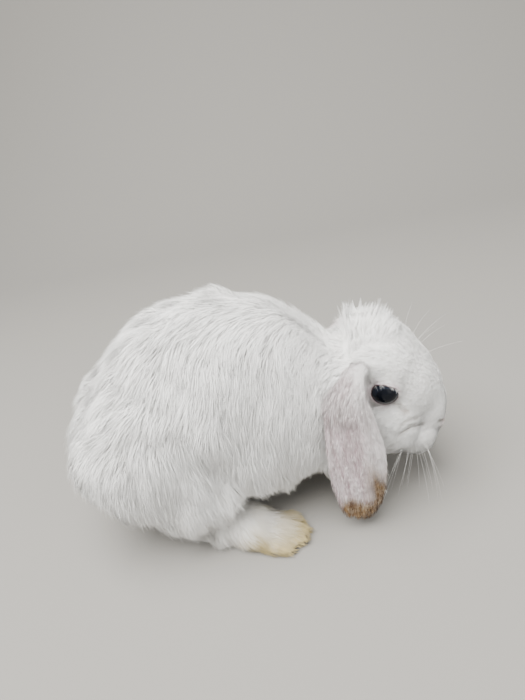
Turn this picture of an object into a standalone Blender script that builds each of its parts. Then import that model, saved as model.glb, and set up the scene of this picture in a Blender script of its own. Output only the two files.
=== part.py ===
"""A young lop rabbit sitting low on all fours: a still, life-size model in solid parts.

The rabbit faces +X, its left side is +Y and the floor is z = 0.  The body is modelled whole,
out to the tips of the coat: a trunk lofted through ribs, rounded forms for head and legs, and
one remesh that runs them together.  Thin cuts then part it where a person would name the
parts.  Ears and eyes are solids of their own, in sockets with a small clearance.
"""
import math
from functools import partial

import bmesh
import bpy
from mathutils import Matrix, Vector

# Driving dimensions, in metres, measured over the coat.
BACK_TOP = 0.146             # highest point of the back
HALF_WIDTH = 0.060           # half the width across the haunches
HAUNCH_AT = Vector((-0.061, 0.036, 0.0645))
HAUNCH_REACH = 0.047         # half the length of the thigh
HAUNCH_HEIGHT = 0.0435       # half the height of the thigh
HAUNCH_PITCH = math.radians(-12)   # the thigh slopes down to the knee in front
KNEE_AT = Vector((-0.034, 0.042, 0.040))
HIND_HEEL = Vector((-0.068, 0.028, 0.0))
HIND_FOOT_LENGTH = 0.091
HIND_FOOT_YAW = math.radians(11)   # toes turned out from straight ahead
HIND_TOES = 4
TOE_SPACING = 0.0082
TAIL_AT = Vector((-0.109, 0.0, 0.046))
TAIL_SIZE = (0.013, 0.013, 0.020)
TAIL_PITCH = math.radians(20)      # the tail lies up along the rump
SHOULDER_AT = Vector((0.034, 0.014, 0.064))
ELBOW_AT = Vector((0.040, 0.017, 0.064))
WRIST_AT = Vector((0.054, 0.019, 0.016))
PAW_AT = Vector((0.060, 0.019, 0.0065))
PAW_SIZE = (0.0150, 0.0105, 0.0095)
SKULL_AT = Vector((0.077, 0.0, 0.089))
EYE_AT = Vector((0.0805, 0.0185, 0.0840))
EYE_RADIUS = 0.0083
EYE_OPENING = (0.0078, 0.0055, 0.0050)   # half length, depth and half height between the lids
EYE_TILT = math.radians(-22)       # the front corner of the eye is the lower one
EAR_WIDTH = 0.0335
EAR_THICKNESS = 0.0042
EAR_TIP_HEIGHT = 0.0095
EAR_ROLL = Vector((math.cos(math.radians(35)), 0, math.sin(math.radians(35))))

CLEARANCE = 0.0003           # gap between two parts that touch
VOXEL = 0.0023               # grain of the remesh that joins the forms
TORSO_SOFTENING = 50         # smoothing passes over trunk and haunches
BODY_SOFTENING = 10          # smoothing passes over the whole body
BODY_FACES = 4100            # triangles of the whole body before it is parted
SIDES = (("left", 1), ("right", -1))

WHITE_COAT = (0.86, 0.84, 0.80)
EAR_SKIN = (0.78, 0.62, 0.60)
EYE_DARK = (0.02, 0.025, 0.035)


def material(name, colour, roughness):
    """A Principled material of one colour."""
    made = bpy.data.materials.new(name)
    made.use_nodes = True
    shader = made.node_tree.nodes["Principled BSDF"]
    shader.inputs["Base Color"].default_value = (*colour, 1.0)
    shader.inputs["Roughness"].default_value = roughness
    shader.inputs["Metallic"].default_value = 0.0
    return made


def add_object(name, mesh):
    """Put a mesh into the scene under a name."""
    thing = bpy.data.objects.new(name, mesh)
    bpy.context.scene.collection.objects.link(thing)
    return thing


def mesh_from(bm, name):
    """Turn a bmesh into a mesh and free it."""
    mesh = bpy.data.meshes.new(name)
    bm.to_mesh(mesh)
    bm.free()
    return mesh


def applied(thing):
    """The object's mesh as its modifiers leave it; the object itself is removed."""
    graph = bpy.context.evaluated_depsgraph_get()
    mesh = bpy.data.meshes.new_from_object(thing.evaluated_get(graph))
    bpy.data.objects.remove(thing, do_unlink=True)
    return mesh


def fused(mesh, softening):
    """Run overlapping closed forms together into one skin, then soften it."""
    thing = add_object("forms", mesh)
    join = thing.modifiers.new("join", "REMESH")
    join.mode = "VOXEL"
    join.voxel_size = VOXEL
    soften = thing.modifiers.new("soften", "SMOOTH")
    soften.factor = 0.5
    soften.iterations = softening
    return applied(thing)


def boolean(mesh, tool_mesh, operation):
    """The mesh after one exact Boolean with the tool's mesh."""
    thing = add_object("working", mesh)
    tool = add_object("tool", tool_mesh)
    tool.hide_render = True
    tool.display_type = "WIRE"
    cut = thing.modifiers.new("cut", "BOOLEAN")
    cut.operation = operation
    cut.object = tool
    result = applied(thing)
    bpy.data.objects.remove(tool, do_unlink=True)
    return result


def posed(at, side=1, pitch=0.0, yaw=0.0):
    """The place of a form: pitch tips its front up, yaw turns it, side -1 mirrors it in y."""
    return (Matrix.Translation((at[0], at[1] * side, at[2]))
            @ Matrix.Rotation(yaw * side, 4, "Z")
            @ Matrix.Rotation(-pitch, 4, "Y"))


def ball(bm, at, radii, pitch=0.0, yaw=0.0, sides=(1,), segments=24):
    """Add an ellipsoid, once for each side."""
    for side in sides:
        place = posed(at, side, pitch, yaw) @ Matrix.Diagonal((*radii, 1.0))
        bmesh.ops.create_uvsphere(bm, u_segments=segments, v_segments=segments * 2 // 3,
                                  radius=1.0, matrix=place)


def pair(bm, at, radii, pitch=0.0, yaw=0.0):
    """Add an ellipsoid and its mirror twin."""
    ball(bm, at, radii, pitch, yaw, sides=(1, -1))


def smooth_between(values, t):
    """Catmull-Rom value at t, counted in whole stations, of a list of equal vectors."""
    last = len(values) - 1
    index = min(int(t), last - 1)
    a, b, c, d = (values[min(max(index + k, 0), last)] for k in (-1, 0, 1, 2))
    u = t - index
    return 0.5 * (2 * b + (c - a) * u + (2 * a - 5 * b + 4 * c - d) * u ** 2
                  + (3 * b - a - 3 * c + d) * u ** 3)


def loft(bm, rings):
    """Skin a list of rings of equal point counts and close both ends."""
    loops = [[bm.verts.new(point) for point in ring] for ring in rings]
    count = len(loops[0])
    for near, far in zip(loops, loops[1:]):
        for k in range(count):
            after = (k + 1) % count
            bm.faces.new((near[k], near[after], far[after], far[k]))
    bm.faces.new(reversed(loops[0]))
    bm.faces.new(loops[-1])


def add_trunk(bm):
    """Rump, loin, back, chest and neck, lofted through tilted oval ribs.

    Each rib is (top x, top z, bottom x, bottom z, half width), from the rump to the throat.
    """
    ribs = [Vector(rib) for rib in (
        (-0.1165, 0.0640, -0.1140, 0.0500, 0.010),
        (-0.1140, 0.0860, -0.1000, 0.0330, 0.031),
        (-0.0990, 0.1105, -0.0820, 0.0230, 0.045),
        (-0.0720, 0.1330, -0.0600, 0.0140, 0.053),
        (-0.0370, BACK_TOP, -0.0300, 0.0110, 0.053),
        (-0.0030, BACK_TOP, 0.0000, 0.0110, 0.048),
        (0.0240, 0.1390, 0.0280, 0.0170, 0.041),
        (0.0420, 0.1240, 0.0540, 0.0330, 0.034),
        (0.0540, 0.1110, 0.0670, 0.0480, 0.028),
        (0.0700, 0.1080, 0.0800, 0.0600, 0.020),
    )]
    per_rib, around = 4, 32
    rings = []
    for step in range((len(ribs) - 1) * per_rib + 1):
        top_x, top_z, bottom_x, bottom_z, half_width = smooth_between(ribs, step / per_rib)
        top, bottom = Vector((top_x, 0, top_z)), Vector((bottom_x, 0, bottom_z))
        middle, half_height = (top + bottom) / 2, (top - bottom) / 2
        half_across = Vector((0, half_width, 0))
        turns = [2 * math.pi * k / around for k in range(around)]
        rings.append([middle + half_height * math.cos(turn) + half_across * math.sin(turn)
                      for turn in turns])
    loft(bm, rings)


def add_haunches(bm):
    """The big rounded thighs, the knees at their lower front corners, and the shoulders."""
    pair(bm, HAUNCH_AT, (HAUNCH_REACH, HALF_WIDTH - HAUNCH_AT.y, HAUNCH_HEIGHT), HAUNCH_PITCH)
    pair(bm, KNEE_AT, (0.030, 0.016, 0.028), math.radians(-30))
    pair(bm, HAUNCH_AT + Vector((0.007, -0.004, -0.030)), (0.030, 0.020, 0.023))
    pair(bm, SHOULDER_AT, (0.026, 0.022, 0.032))


def add_head(bm):
    """Skull, crown, brow, bridge, muzzle, cheeks, nose, whisker pads and chin."""
    ball(bm, SKULL_AT, (0.028, 0.0265, 0.031))
    ball(bm, SKULL_AT + Vector((-0.003, 0, 0.022)), (0.0160, 0.0165, 0.0170))
    ball(bm, (0.0912, 0, 0.0770), (0.0212, 0.0220, 0.0315), math.radians(14))
    ball(bm, (0.0985, 0, 0.0720), (0.0165, 0.0165, 0.0220), math.radians(14))
    ball(bm, (0.0972, 0, 0.0570), (0.0205, 0.0150, 0.0270))
    pair(bm, (0.0800, 0.0140, 0.0560), (0.0200, 0.0150, 0.0220))
    ball(bm, (0.1085, 0, 0.0425), (0.0085, 0.0070, 0.0080))
    pair(bm, (0.0965, 0.0070, 0.0380), (0.0135, 0.0105, 0.0130))
    ball(bm, (0.0925, 0, 0.0310), (0.0145, 0.0100, 0.0115))


def add_hind_feet(bm):
    """The long feet, flat on the floor from heel to toes, with the toes under the fur.

    Each stretch of the sole is (share of the length from the heel, height, half width).
    """
    ahead = Vector((math.cos(HIND_FOOT_YAW), math.sin(HIND_FOOT_YAW), 0))
    aside = Vector((-ahead.y, ahead.x, 0))
    for share, height, half_width in ((0.12, 0.024, 0.0120), (0.30, 0.025, 0.0130),
                                      (0.48, 0.026, 0.0160), (0.66, 0.022, 0.0175),
                                      (0.80, 0.0165, 0.0150)):
        centre = HIND_HEEL + ahead * HIND_FOOT_LENGTH * share + Vector((0, 0, height * 0.36))
        pair(bm, centre, (0.016, half_width, height * 0.64), yaw=HIND_FOOT_YAW)
    for toe in range(HIND_TOES):
        across = (toe - (HIND_TOES - 1) / 2) * TOE_SPACING
        reach = 0.940 - 0.038 * (toe - 1.5) ** 2     # the two middle toes are longest
        centre = HIND_HEEL + ahead * HIND_FOOT_LENGTH * reach + aside * across
        pair(bm, centre + Vector((0, 0, 0.0045)), (0.0125, 0.0052, 0.0070), yaw=HIND_FOOT_YAW)


def add_forelegs(bm):
    """The upright forelegs, as rows of overlapping balls, and their small paws."""
    steps, radius_elbow, radius_wrist = 7, 0.017, 0.0105
    for step in range(steps + 1):
        t = step / steps
        radius = radius_elbow + (radius_wrist - radius_elbow) * t
        pair(bm, ELBOW_AT.lerp(WRIST_AT, t), (radius, radius, radius))
    pair(bm, PAW_AT, PAW_SIZE)


def add_tail(bm):
    """The short tail, held up against the rump."""
    ball(bm, TAIL_AT, TAIL_SIZE, TAIL_PITCH)


def whole_body():
    """All the forms run together into one closed skin that stands on flat soles."""
    bm = bmesh.new()
    add_trunk(bm)
    add_haunches(bm)
    torso = fused(mesh_from(bm, "torso"), TORSO_SOFTENING)
    bm = bmesh.new()
    bm.from_mesh(torso)
    for add in (add_head, add_hind_feet, add_forelegs, add_tail):
        add(bm)
    mesh = fused(mesh_from(bm, "body"), BODY_SOFTENING)
    body = add_object("body", mesh)
    thin = body.modifiers.new("thin", "DECIMATE")
    thin.ratio = BODY_FACES / (2 * len(mesh.polygons))
    above_floor = block((0, 0, 0.1), (0.2, 0.1, 0.1), 0.0)
    return boolean(applied(body), above_floor, "INTERSECT")


def ear_mesh(side, spare=0.0):
    """The hanging ear, a thin sheet whose edges curl to its inner side.

    Each station is (x, y, z, width, thickness, curl), from the root in the skull over the
    fold and down to the tip.  A spare margin all over makes the socket's cutter.
    """
    stations = [Vector(station) for station in (
        (0.0680, 0.0150, 0.0945, 0.0150, 0.0100, 0.0000),
        (0.0672, 0.0235, 0.0994, 0.0130, 0.0095, 0.0010),
        (0.0638, 0.0310, 0.0990, 0.0155, 0.0085, 0.0025),
        (0.0598, 0.0366, 0.0910, 0.0225, 0.0065, 0.0045),
        (0.0592, 0.0400, 0.0770, 0.0285, EAR_THICKNESS, 0.0055),
        (0.0600, 0.0415, 0.0560, EAR_WIDTH, EAR_THICKNESS, 0.0055),
        (0.0596, 0.0420, 0.0370, EAR_WIDTH * 0.97, EAR_THICKNESS, 0.0050),
        (0.0587, 0.0418, 0.0220, EAR_WIDTH * 0.81, EAR_THICKNESS, 0.0035),
        (0.0575, 0.0412, 0.0135, EAR_WIDTH * 0.64, EAR_THICKNESS * 0.9, 0.0020),
        (0.0562, 0.0408, EAR_TIP_HEIGHT, EAR_WIDTH * 0.42, EAR_THICKNESS * 0.6, 0.0005),
    )]
    per_station, around = 2, 14
    steps = (len(stations) - 1) * per_station
    rows = [smooth_between(stations, step / per_station) for step in range(steps + 1)]
    rings = []
    for index, (x, y, z, width, thickness, curl) in enumerate(rows):
        before, after = rows[max(index - 1, 0)], rows[min(index + 1, steps)]
        along = Vector(after[:3]) - Vector(before[:3])
        through = EAR_ROLL.cross(along).normalized()      # towards the outer side
        across = along.cross(through).normalized()
        ring = []
        for k in range(around):
            turn = 2 * math.pi * k / around
            aside = (width / 2 + spare) * math.cos(turn)
            depth = (thickness / 2 + spare) * math.sin(turn) - curl * (math.cos(turn) ** 2 - 0.4)
            point = Vector((x, y, z)) + across * aside + through * depth
            ring.append(Vector((point.x, point.y * side, point.z)))
        rings.append(ring)
    bm = bmesh.new()
    loft(bm, rings)
    bmesh.ops.recalc_face_normals(bm, faces=bm.faces)
    return mesh_from(bm, "ear")


def eye_mesh(side, spare=0.0):
    """The eyeball, its poles facing out; a spare margin makes the socket's cutter."""
    bm = bmesh.new()
    place = posed(EYE_AT, side) @ Matrix.Rotation(math.pi / 2, 4, "X")
    bmesh.ops.create_uvsphere(bm, u_segments=16, v_segments=10, radius=EYE_RADIUS + spare,
                              matrix=place)
    return mesh_from(bm, "eye")


def orbit(side):
    """Cutter for the almond hollow between the lids, through which the eyeball shows."""
    bm = bmesh.new()
    ball(bm, EYE_AT + Vector((0, EYE_RADIUS, 0)), EYE_OPENING, EYE_TILT, sides=(side,),
         segments=16)
    return mesh_from(bm, "orbit")


def block(centre, half_size, grow, side=1, pitch=0.0, yaw=0.0):
    """A cutting block, grown by a margin on every face."""
    size = Matrix.Diagonal((*(2 * (half + grow) for half in half_size), 1.0))
    bm = bmesh.new()
    bmesh.ops.create_cube(bm, size=1.0, matrix=posed(centre, side, pitch, yaw) @ size)
    return mesh_from(bm, "block")


def hind_foot_cut(side, grow):
    """A block round the long foot, turned out as it is."""
    middle = HIND_HEEL + HIND_FOOT_LENGTH / 2 * Vector((math.cos(HIND_FOOT_YAW),
                                                       math.sin(HIND_FOOT_YAW), 0))
    return block(middle, (0.056, 0.018, 0.0265), grow, side, math.radians(2), HIND_FOOT_YAW)


def foreleg_cut(side, grow):
    """A block round the foreleg, its top sloping with the underside of the chest."""
    return block((0.0593, 0.0200, -0.0037), (0.020, 0.014, 0.030), grow, side, math.radians(25))


def haunch_cut(side, grow):
    """An oval plug that runs inward through the flank, round the thigh and the knee."""
    outside, inside = 0.080, 0.017
    half_length, half_height = 0.057, 0.051
    size = Matrix.Diagonal((half_length + grow, 1.0, half_height + grow, 1.0))
    place = posed((-0.057, (outside + inside) / 2, 0.059), side, math.radians(-16))
    bm = bmesh.new()
    bmesh.ops.create_cone(bm, cap_ends=True, segments=28, radius1=1.0, radius2=1.0,
                          depth=outside - inside + 2 * grow,
                          matrix=place @ size @ Matrix.Rotation(math.pi / 2, 4, "X"))
    return mesh_from(bm, "plug")


def head_cut(grow):
    """All that lies in front of a plane from the nape to the throat."""
    return block((0.1080, 0, 0.0825), (0.050, 0.050, 0.067), grow, pitch=math.radians(7.5))


def neck_cut(grow):
    """The wedge behind the head, its rear plane leaning over the shoulders."""
    return block((0.0900, 0, 0.1030), (0.050, 0.050, 0.055), grow, pitch=math.radians(18))


def tail_cut(grow):
    """A rounded cutter that follows the tail."""
    bm = bmesh.new()
    ball(bm, TAIL_AT, [radius + 0.003 + grow for radius in TAIL_SIZE], TAIL_PITCH, segments=14)
    return mesh_from(bm, "tail_cut")


def parted(rest):
    """Cut the body into named meshes with a clearance at every cut; the trunk is what stays."""
    cuts = []
    for side_name, side in SIDES:
        cuts.append((f"hind_foot_{side_name}", partial(hind_foot_cut, side)))
        cuts.append((f"foreleg_{side_name}", partial(foreleg_cut, side)))
    cuts += [("head", head_cut), ("neck", neck_cut), ("tail", tail_cut)]
    for side_name, side in SIDES:
        cuts.append((f"haunch_{side_name}", partial(haunch_cut, side)))
    parts = {}
    for name, shape in cuts:
        parts[name] = boolean(rest.copy(), shape(-CLEARANCE / 2), "INTERSECT")
        rest = boolean(rest, shape(CLEARANCE / 2), "DIFFERENCE")
    parts["trunk"] = rest
    return parts


for leftover in list(bpy.data.objects):
    bpy.data.objects.remove(leftover, do_unlink=True)

coat = material("white_coat", WHITE_COAT, 0.9)
ear_skin = material("ear_skin", EAR_SKIN, 0.8)
eye_dark = material("eye_dark", EYE_DARK, 0.15)

body = whole_body()
for _, side in SIDES:
    body = boolean(body, ear_mesh(side, CLEARANCE), "DIFFERENCE")
    body = boolean(body, orbit(side), "DIFFERENCE")
    body = boolean(body, eye_mesh(side, CLEARANCE), "DIFFERENCE")

nodes = {name: (mesh, coat) for name, mesh in parted(body).items()}
for side_name, side in SIDES:
    nodes[f"ear_{side_name}"] = (ear_mesh(side), ear_skin)
    nodes[f"eye_{side_name}"] = (eye_mesh(side), eye_dark)

# The origin goes to the middle of the footprint, on the floor.
corners = [vertex.co for mesh, _ in nodes.values() for vertex in mesh.vertices]
middle_x = (min(c.x for c in corners) + max(c.x for c in corners)) / 2
middle_y = (min(c.y for c in corners) + max(c.y for c in corners)) / 2
for name, (mesh, finish) in nodes.items():
    mesh.transform(Matrix.Translation((-middle_x, -middle_y, 0)))
    mesh.materials.clear()
    mesh.materials.append(finish)
    add_object(name, mesh)
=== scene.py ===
"""A young white lop rabbit, still and life-size, as a museum shows one.

One skin carries the folds, lids, nose and toes.  Glassy eyes sit in it, and a coat of solid,
tapered locks lies over it.  +X to the nose, +Y to the rabbit's left, +Z up, in metres where
no comment says mm.
"""

import bmesh
import bpy
import numpy as np
from mathutils import Matrix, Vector
from mathutils.bvhtree import BVHTree
from mathutils.kdtree import KDTree


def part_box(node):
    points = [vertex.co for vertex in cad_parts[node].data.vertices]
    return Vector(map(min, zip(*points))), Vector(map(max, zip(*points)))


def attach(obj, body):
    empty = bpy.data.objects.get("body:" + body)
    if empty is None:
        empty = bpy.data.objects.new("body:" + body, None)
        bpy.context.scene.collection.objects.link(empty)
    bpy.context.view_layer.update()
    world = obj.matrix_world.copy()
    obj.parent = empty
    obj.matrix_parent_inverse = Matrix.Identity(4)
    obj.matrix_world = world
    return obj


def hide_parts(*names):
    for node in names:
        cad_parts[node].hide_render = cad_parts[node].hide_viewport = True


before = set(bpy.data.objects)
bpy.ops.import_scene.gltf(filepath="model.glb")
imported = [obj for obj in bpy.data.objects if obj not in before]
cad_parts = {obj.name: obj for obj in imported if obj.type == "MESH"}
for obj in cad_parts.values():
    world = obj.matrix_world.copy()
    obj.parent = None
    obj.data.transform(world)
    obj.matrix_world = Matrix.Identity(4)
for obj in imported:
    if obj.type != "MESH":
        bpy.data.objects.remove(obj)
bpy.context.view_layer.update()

# ------------------------------
# The bare body.  A real rabbit is one skin over back, thighs and cheeks; here full forms are
# run together by a remesh, softened, and let in by the depth of the coat that will cover
# them.  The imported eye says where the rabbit's own zero lies in the frame.
EYE_AT = np.array((0.0805, 0.0185, 0.084))
eye_low, eye_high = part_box("eye_left")
ZERO = (np.array(eye_low) + np.array(eye_high)) / 2 - EYE_AT
EYE_AT = EYE_AT - (0, 0, 0.0009)
# The forms are given in mm and degrees.
BACK_TOP = 146
HAUNCH_AT = np.array((-61, 36, 64.5))
HEEL_AT = np.array((-68, 28, 0))
FOOT_LENGTH = 91
FOOT_YAW = 11
FOOT_AHEAD = np.array((np.cos(np.radians(FOOT_YAW)), np.sin(np.radians(FOOT_YAW)), 0))
FOOT_ASIDE = np.array((-FOOT_AHEAD[1], FOOT_AHEAD[0], 0))
TOE_SPACING = 8.2
ELBOW_AT = np.array((40, 17, 64))
WRIST_AT = np.array((54, 19, 16))
TORSO_GRAIN, TORSO_PASSES = 0.0018, 82
BODY_GRAIN, BODY_PASSES = 0.0014, 26
FINE_FROM = 0.088       # the muzzle is modelled more finely from here
FINE_ROUND_EYE = 0.019
SKIN_LOWEST = 0.0012


def unit(vectors):
    """Each vector divided by its length."""
    return vectors / (np.linalg.norm(vectors, axis=-1, keepdims=True) + 1e-12)


def ramp(low, high, value):
    """A smooth step from 0 at low to 1 at high, 3s^2 - 2s^3 between; low may be the larger."""
    s = np.clip((value - low) / (high - low), 0, 1)
    return s * s * (3 - 2 * s)


def full_turn(count):
    """So many angles, evenly round a full turn."""
    return np.arange(count) * 2 * np.pi / count


def smooth_between(stations, steps):
    """Catmull-Rom curve through the rows of an array, with so many steps to each span."""
    stations = np.asarray(stations, float)
    last = len(stations) - 1
    t = np.arange(last * steps + 1) / steps
    span = np.minimum(t.astype(int), last - 1)
    u = (t - span)[:, None]
    a, b, c, d = (stations[np.clip(span + k, 0, last)] for k in (-1, 0, 1, 2))
    return 0.5 * (2 * b + (c - a) * u + (2 * a - 5 * b + 4 * c - d) * u ** 2
                  + (3 * b - a - 3 * c + d) * u ** 3)


def rows_of(*columns):
    """Columns of numbers, broadcast together, as rows."""
    return np.stack(np.broadcast_arrays(*columns), -1).reshape(-1, len(columns))


def halved(a, b, c, d):
    """The triangles abc of all four-cornered faces, then their triangles acd."""
    return np.concatenate([rows_of(a, b, c), rows_of(a, c, d)])


def closed_rings(rings):
    """Points and triangles of a tube through rings of points, each end closed on its mean."""
    rings = np.asarray(rings, float)
    count, around = rings.shape[:2]
    points = np.concatenate([rings.reshape(-1, 3), rings[[0, -1]].mean(axis=1)])
    k = np.arange(around)
    after = (k + 1) % around
    row = np.arange(count - 1)[:, None] * around
    last, pole = (count - 1) * around, count * around
    return points, np.concatenate([
        halved(row + k, row + after, row + around + after, row + around + k),
        rows_of(after, k, pole), rows_of(last + k, last + after, pole + 1)])


def joined(pieces):
    """Several (points, triangles) pairs as one pair."""
    starts = np.cumsum([0] + [len(points) for points, _ in pieces[:-1]])
    return (np.concatenate([points for points, _ in pieces]),
            np.concatenate([triangles + start for (_, triangles), start in zip(pieces, starts)]))


def ball(at, radii, pitch=0, yaw=0, side=1):
    """Ellipsoid (rx sin v cos u, ry sin v sin u, rz cos v), its front tipped up by pitch."""
    v = ((np.arange(18) + 0.5) * np.pi / 18)[:, None]
    u = full_turn(28)
    local = np.stack([np.sin(v) * np.cos(u), -np.sin(v) * np.sin(u), np.cos(v) + 0 * u], -1)
    turn = Matrix.Rotation(np.radians(yaw), 3, "Z") @ Matrix.Rotation(-np.radians(pitch), 3, "Y")
    return closed_rings(((local * radii) @ np.array(turn).T + at) / 1000 * (1, side, 1))


def pair(at, radii, pitch=0, yaw=0):
    """An ellipsoid and its mirror twin."""
    return [ball(at, radii, pitch, yaw, side) for side in (1, -1)]


def trunk_form():
    """Ovals at (top x, top z, bottom x, bottom z, half width), from the rump to the throat."""
    ribs = smooth_between((
        (-116.5, 64, -114, 50, 10),
        (-114, 86, -100, 33, 31),
        (-99, 110.5, -82, 23, 45),
        (-72, 133, -60, 14, 53),
        (-37, BACK_TOP, -30, 11, 53),
        (-3, BACK_TOP, 0, 11, 48),
        (24, 139, 28, 17, 41),
        (42, 124, 54, 33, 34),
        (54, 111, 67, 48, 28),
        (70, 108, 80, 60, 20)), 5) / 1000
    turn = full_turn(48)
    top, bottom = ribs[:, None, [0, 1]], ribs[:, None, [2, 3]]
    middle, half = (top + bottom) / 2, (top - bottom) / 2
    upright = middle + half * np.cos(turn)[None, :, None]
    across = ribs[:, None, 4] * np.sin(turn)
    return closed_rings(np.stack([upright[..., 0], across, upright[..., 1]], -1))


def torso_forms():
    """Trunk, thighs, knees and shoulders, which are softened heavily together."""
    return ([trunk_form()]
            + pair(HAUNCH_AT, (47, 24, 43.5), -12)
            + pair((-37, 42, 40), (26.5, 15, 26.5), -30)
            + pair(HAUNCH_AT + (7, -4, -30), (30, 20, 23))
            + pair((34, 14, 64), (26, 22, 32)))


def head_forms():
    """Skull, crown, brow, muzzle, cheeks, nose, whisker pads and chin."""
    return ([ball((77, 0, 89), (28, 26.5, 31)),
             ball((74, 0, 111), (16, 16.5, 17)),
             ball((91.2, 0, 77), (21.2, 22, 31.5), 14),
             ball((97.2, 0, 57), (20.5, 15, 27)),
             ball((98.5, 0, 72), (16.5, 16.5, 22), 14),
             ball((108.5, 0, 42.5), (8.5, 7, 8)),
             ball((92.5, 0, 31), (14.5, 10, 11.5))]
            + pair((80, 14, 56), (20, 15, 22))
            + pair((58.5, 22, 92), (8.5, 10.5, 12))
            + pair((62, 28.5, 95), (6, 6, 8.5))
            + pair((96.5, 7, 38), (13.5, 10.5, 13)))


def limb_forms():
    """Long hind feet with four toes, upright forelegs with small paws, and the tail."""
    forms = []
    for share, height, half_width in ((0.12, 24, 12), (0.3, 25, 13), (0.48, 26, 16),
                                      (0.66, 19.5, 17.5), (0.8, 13, 15)):
        centre = HEEL_AT + FOOT_AHEAD * FOOT_LENGTH * share + (0, 0, height * 0.36)
        forms += pair(centre, (16, half_width, height * 0.64), yaw=FOOT_YAW)
    for toe in range(4):
        reach = 0.94 - 0.038 * (toe - 1.5) ** 2
        centre = (HEEL_AT + FOOT_AHEAD * FOOT_LENGTH * reach
                  + FOOT_ASIDE * (toe - 1.5) * TOE_SPACING)
        forms += pair(centre + (0, 0, 3.8), (13, 5, 5.4), yaw=FOOT_YAW)
    for t in np.linspace(0, 1, 8):
        radius = 17 - 6.5 * t
        forms += pair(ELBOW_AT + (WRIST_AT - ELBOW_AT) * t, (radius, radius, radius))
    forms += pair((60, 19, 6.5), (15, 10.5, 9.5))
    return forms + [ball((-109, 0, 46), (13, 13, 20), 20)]


def put_mesh(name, points, triangles):
    """A smooth-shaded object of triangles between points about the rabbit's own zero."""
    mesh = bpy.data.meshes.new(name)
    mesh.vertices.add(len(points))
    mesh.vertices.foreach_set("co", np.ravel(points + ZERO))
    mesh.loops.add(triangles.size)
    mesh.loops.foreach_set("vertex_index", np.ravel(triangles).astype(np.int32))
    mesh.polygons.add(len(triangles))
    mesh.polygons.foreach_set("loop_start", np.arange(0, triangles.size, 3, dtype=np.int32))
    mesh.update(calc_edges=True)
    mesh.shade_smooth()
    thing = bpy.data.objects.new(name, mesh)
    bpy.context.scene.collection.objects.link(thing)
    return thing


def read_mesh(mesh):
    """Points about the rabbit's own zero, and triangles, of a mesh."""
    points = np.empty(len(mesh.vertices) * 3, np.float32)
    mesh.vertices.foreach_get("co", points)
    mesh.calc_loop_triangles()
    triangles = np.empty(len(mesh.loop_triangles) * 3, np.int32)
    mesh.loop_triangles.foreach_get("vertices", triangles)
    return points.reshape(-1, 3).astype(float) - ZERO, triangles.reshape(-1, 3)


def fused(pieces, grain, softening):
    """The mesh of closed forms run together at a grain, then softened by so many passes."""
    thing = put_mesh("forms", *joined(pieces))
    join = thing.modifiers.new("join", "REMESH")
    join.mode = "VOXEL"
    join.voxel_size = grain
    soften = thing.modifiers.new("soften", "SMOOTH")
    soften.factor = 0.5
    soften.iterations = softening
    graph = bpy.context.evaluated_depsgraph_get()
    mesh = bpy.data.meshes.new_from_object(thing.evaluated_get(graph))
    bpy.data.objects.remove(thing, do_unlink=True)
    return mesh


def split_finer(mesh, wanted):
    """Halve the edges of the faces whose points are all wanted, for finer modelling there."""
    bm = bmesh.new()
    bm.from_mesh(mesh)
    bm.verts.ensure_lookup_table()
    edges = [edge for edge in bm.edges if all(wanted[end.index] for end in edge.verts)]
    bmesh.ops.subdivide_edges(bm, edges=edges, cuts=1, use_grid_fill=True)
    bm.to_mesh(mesh)
    bm.free()


def softened(points, triangles, passes, share):
    """Each pass moves a point by its share of the way to the mean of its neighbours."""
    edges = np.concatenate([triangles[:, [0, 1]], triangles[:, [1, 2]], triangles[:, [2, 0]]])
    weight = np.bincount(edges[:, 0], minlength=len(points))[:, None]
    for _ in range(passes):
        total = np.stack([np.bincount(edges[:, 0], points[edges[:, 1], axis], len(points))
                          for axis in range(3)], -1)
        points = points + (total / weight - points) * share[:, None]
    return points


def normals_of(points, triangles):
    """Point normals: the sum of the area vectors of the triangles round each point."""
    a, b, c = (points[triangles[:, k]] for k in range(3))
    area = np.cross(b - a, c - a)
    return unit(np.stack([sum(np.bincount(triangles[:, k], area[:, axis], len(points))
                              for k in range(3)) for axis in range(3)], -1))


torso = fused(torso_forms(), TORSO_GRAIN, TORSO_PASSES)
body_mesh = fused([read_mesh(torso)] + head_forms() + limb_forms(), BODY_GRAIN, BODY_PASSES)
body, body_faces = read_mesh(body_mesh)
from_eye = np.linalg.norm(body * (1, 0, 1) + (0, 1, 0) * np.abs(body) - EYE_AT, axis=1)
split_finer(body_mesh, (body[:, 0] > FINE_FROM) | (from_eye < FINE_ROUND_EYE))
body, body_faces = read_mesh(body_mesh)
body = softened(body, body_faces, 3, 0.5 * ramp(0.06, 0.07, body[:, 0]))

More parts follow.
